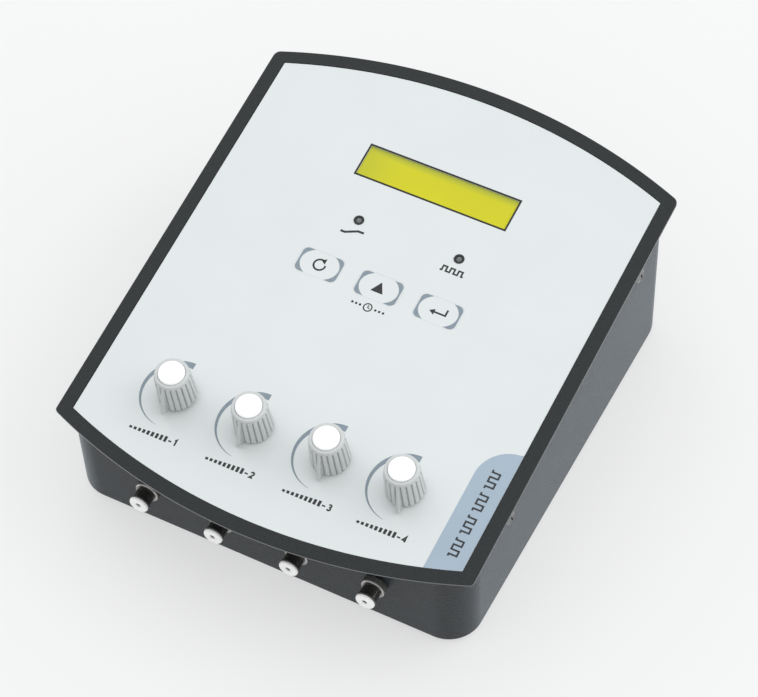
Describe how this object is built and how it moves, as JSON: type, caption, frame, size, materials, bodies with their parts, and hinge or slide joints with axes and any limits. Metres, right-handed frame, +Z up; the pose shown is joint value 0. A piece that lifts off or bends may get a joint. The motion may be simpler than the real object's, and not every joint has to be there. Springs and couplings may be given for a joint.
{
  "type": "transcutaneous nerve stimulator",
  "caption": "Mains-powered desk console for electrotherapy: sloping panel with display, lamps, keys and intensity knobs over a row of output sockets.",
  "frame": {"origin": "on the table under the middle of the case", "axes": "+Z up, front of the case (output sockets) towards -Y, +X to the right of someone facing it"},
  "size_m": [0.1716, 0.2048, 0.0738],
  "materials": {
    "case_plastic": "fine-textured moulded ABS",
    "overlay_film": "satin printed polycarbonate film",
    "clear_window": "clear acrylic over a yellow-green backlight",
    "knob_plastic": "satin moulded grey plastic",
    "cap_plastic": "glossy white plastic",
    "lamp_resin": "grey tinted resin, unlit",
    "black_plastic": "moulded black plastic",
    "nickel": "bright nickel plate",
    "white_nylon": "moulded white nylon",
    "rubber": "matt black rubber",
    "display_glass": "display cell and backlight",
    "circuit_board": "green solder resist",
    "lamination": "bare steel",
    "winding_tape": "yellow polyester tape",
    "ribbon_cable": "grey PVC ribbon"
  },
  "bodies": {
    "case": {"base_shell": "case_plastic", "top_cover": "case_plastic", "front_overlay": "overlay_film", "ramp_lamp": "lamp_resin", "ramp_lamp_collar": "black_plastic", "pulse_lamp": "lamp_resin", "pulse_lamp_collar": "black_plastic", "potentiometer_1": "lamination", "potentiometer_2": "lamination", "potentiometer_3": "lamination", "potentiometer_4": "lamination", "output_socket_1": "nickel", "socket_insulator_1": "white_nylon", "socket_nut_1": "nickel", "output_socket_2": "nickel", "socket_insulator_2": "white_nylon", "socket_nut_2": "nickel", "output_socket_3": "nickel", "socket_insulator_3": "white_nylon", "socket_nut_3": "nickel", "output_socket_4": "nickel", "socket_insulator_4": "white_nylon", "socket_nut_4": "nickel", "mains_inlet": "black_plastic", "power_switch_housing": "black_plastic", "cover_screw_left_front": "nickel", "cover_screw_left_rear": "nickel", "cover_screw_right_front": "nickel", "cover_screw_right_rear": "nickel", "foot_front_left": "rubber", "foot_front_right": "rubber", "foot_rear_left": "rubber", "foot_rear_right": "rubber", "display_window": "clear_window", "display_frame": "lamination", "display_glass": "display_glass", "display_board": "circuit_board", "display_ribbon": "ribbon_cable", "control_board": "circuit_board", "supply_board": "circuit_board", "transformer_core": "lamination", "transformer_winding": "winding_tape"},
    "knob_1": {"intensity_knob_1": "knob_plastic", "knob_cap_1": "cap_plastic", "potentiometer_shaft_1": "nickel"},
    "knob_2": {"intensity_knob_2": "knob_plastic", "knob_cap_2": "cap_plastic", "potentiometer_shaft_2": "nickel"},
    "knob_3": {"intensity_knob_3": "knob_plastic", "knob_cap_3": "cap_plastic", "potentiometer_shaft_3": "nickel"},
    "knob_4": {"intensity_knob_4": "knob_plastic", "knob_cap_4": "cap_plastic", "potentiometer_shaft_4": "nickel"},
    "key_reset": {"key_reset": "overlay_film"},
    "key_time": {"key_time": "overlay_film"},
    "key_enter": {"key_enter": "overlay_film"},
    "rocker": {"power_switch_rocker": "black_plastic"}
  },
  "joints": [
    {"name": "intensity_1_turn", "type": "hinge", "parent": "case", "child": "knob_1", "pos_m": [-0.0469, -0.0626, 0.05244], "axis": [0, 0.1374, -0.9905], "range_deg": [0, 300]},
    {"name": "intensity_2_turn", "type": "hinge", "parent": "case", "child": "knob_2", "pos_m": [-0.015, -0.06247, 0.05145], "axis": [0, 0.1374, -0.9905], "range_deg": [0, 300]},
    {"name": "intensity_3_turn", "type": "hinge", "parent": "case", "child": "knob_3", "pos_m": [0.0167, -0.06247, 0.05145], "axis": [0, 0.1374, -0.9905], "range_deg": [0, 300]},
    {"name": "intensity_4_turn", "type": "hinge", "parent": "case", "child": "knob_4", "pos_m": [0.047, -0.06247, 0.05145], "axis": [0, 0.1374, -0.9905], "range_deg": [0, 300]},
    {"name": "key_reset_press", "type": "slide", "parent": "case", "child": "key_reset", "axis": [0, 0.1374, -0.9905], "range_m": [0, 0.0005], "stiffness_N_per_m": 4000},
    {"name": "key_time_press", "type": "slide", "parent": "case", "child": "key_time", "axis": [0, 0.1374, -0.9905], "range_m": [0, 0.0005], "stiffness_N_per_m": 4000},
    {"name": "key_enter_press", "type": "slide", "parent": "case", "child": "key_enter", "axis": [0, 0.1374, -0.9905], "range_m": [0, 0.0005], "stiffness_N_per_m": 4000},
    {"name": "power_switch_rock", "type": "hinge", "parent": "case", "child": "rocker", "pos_m": [0.005, 0.08618, 0.026], "axis": [1, 0, 0], "range_deg": [0, 20]}
  ]
}
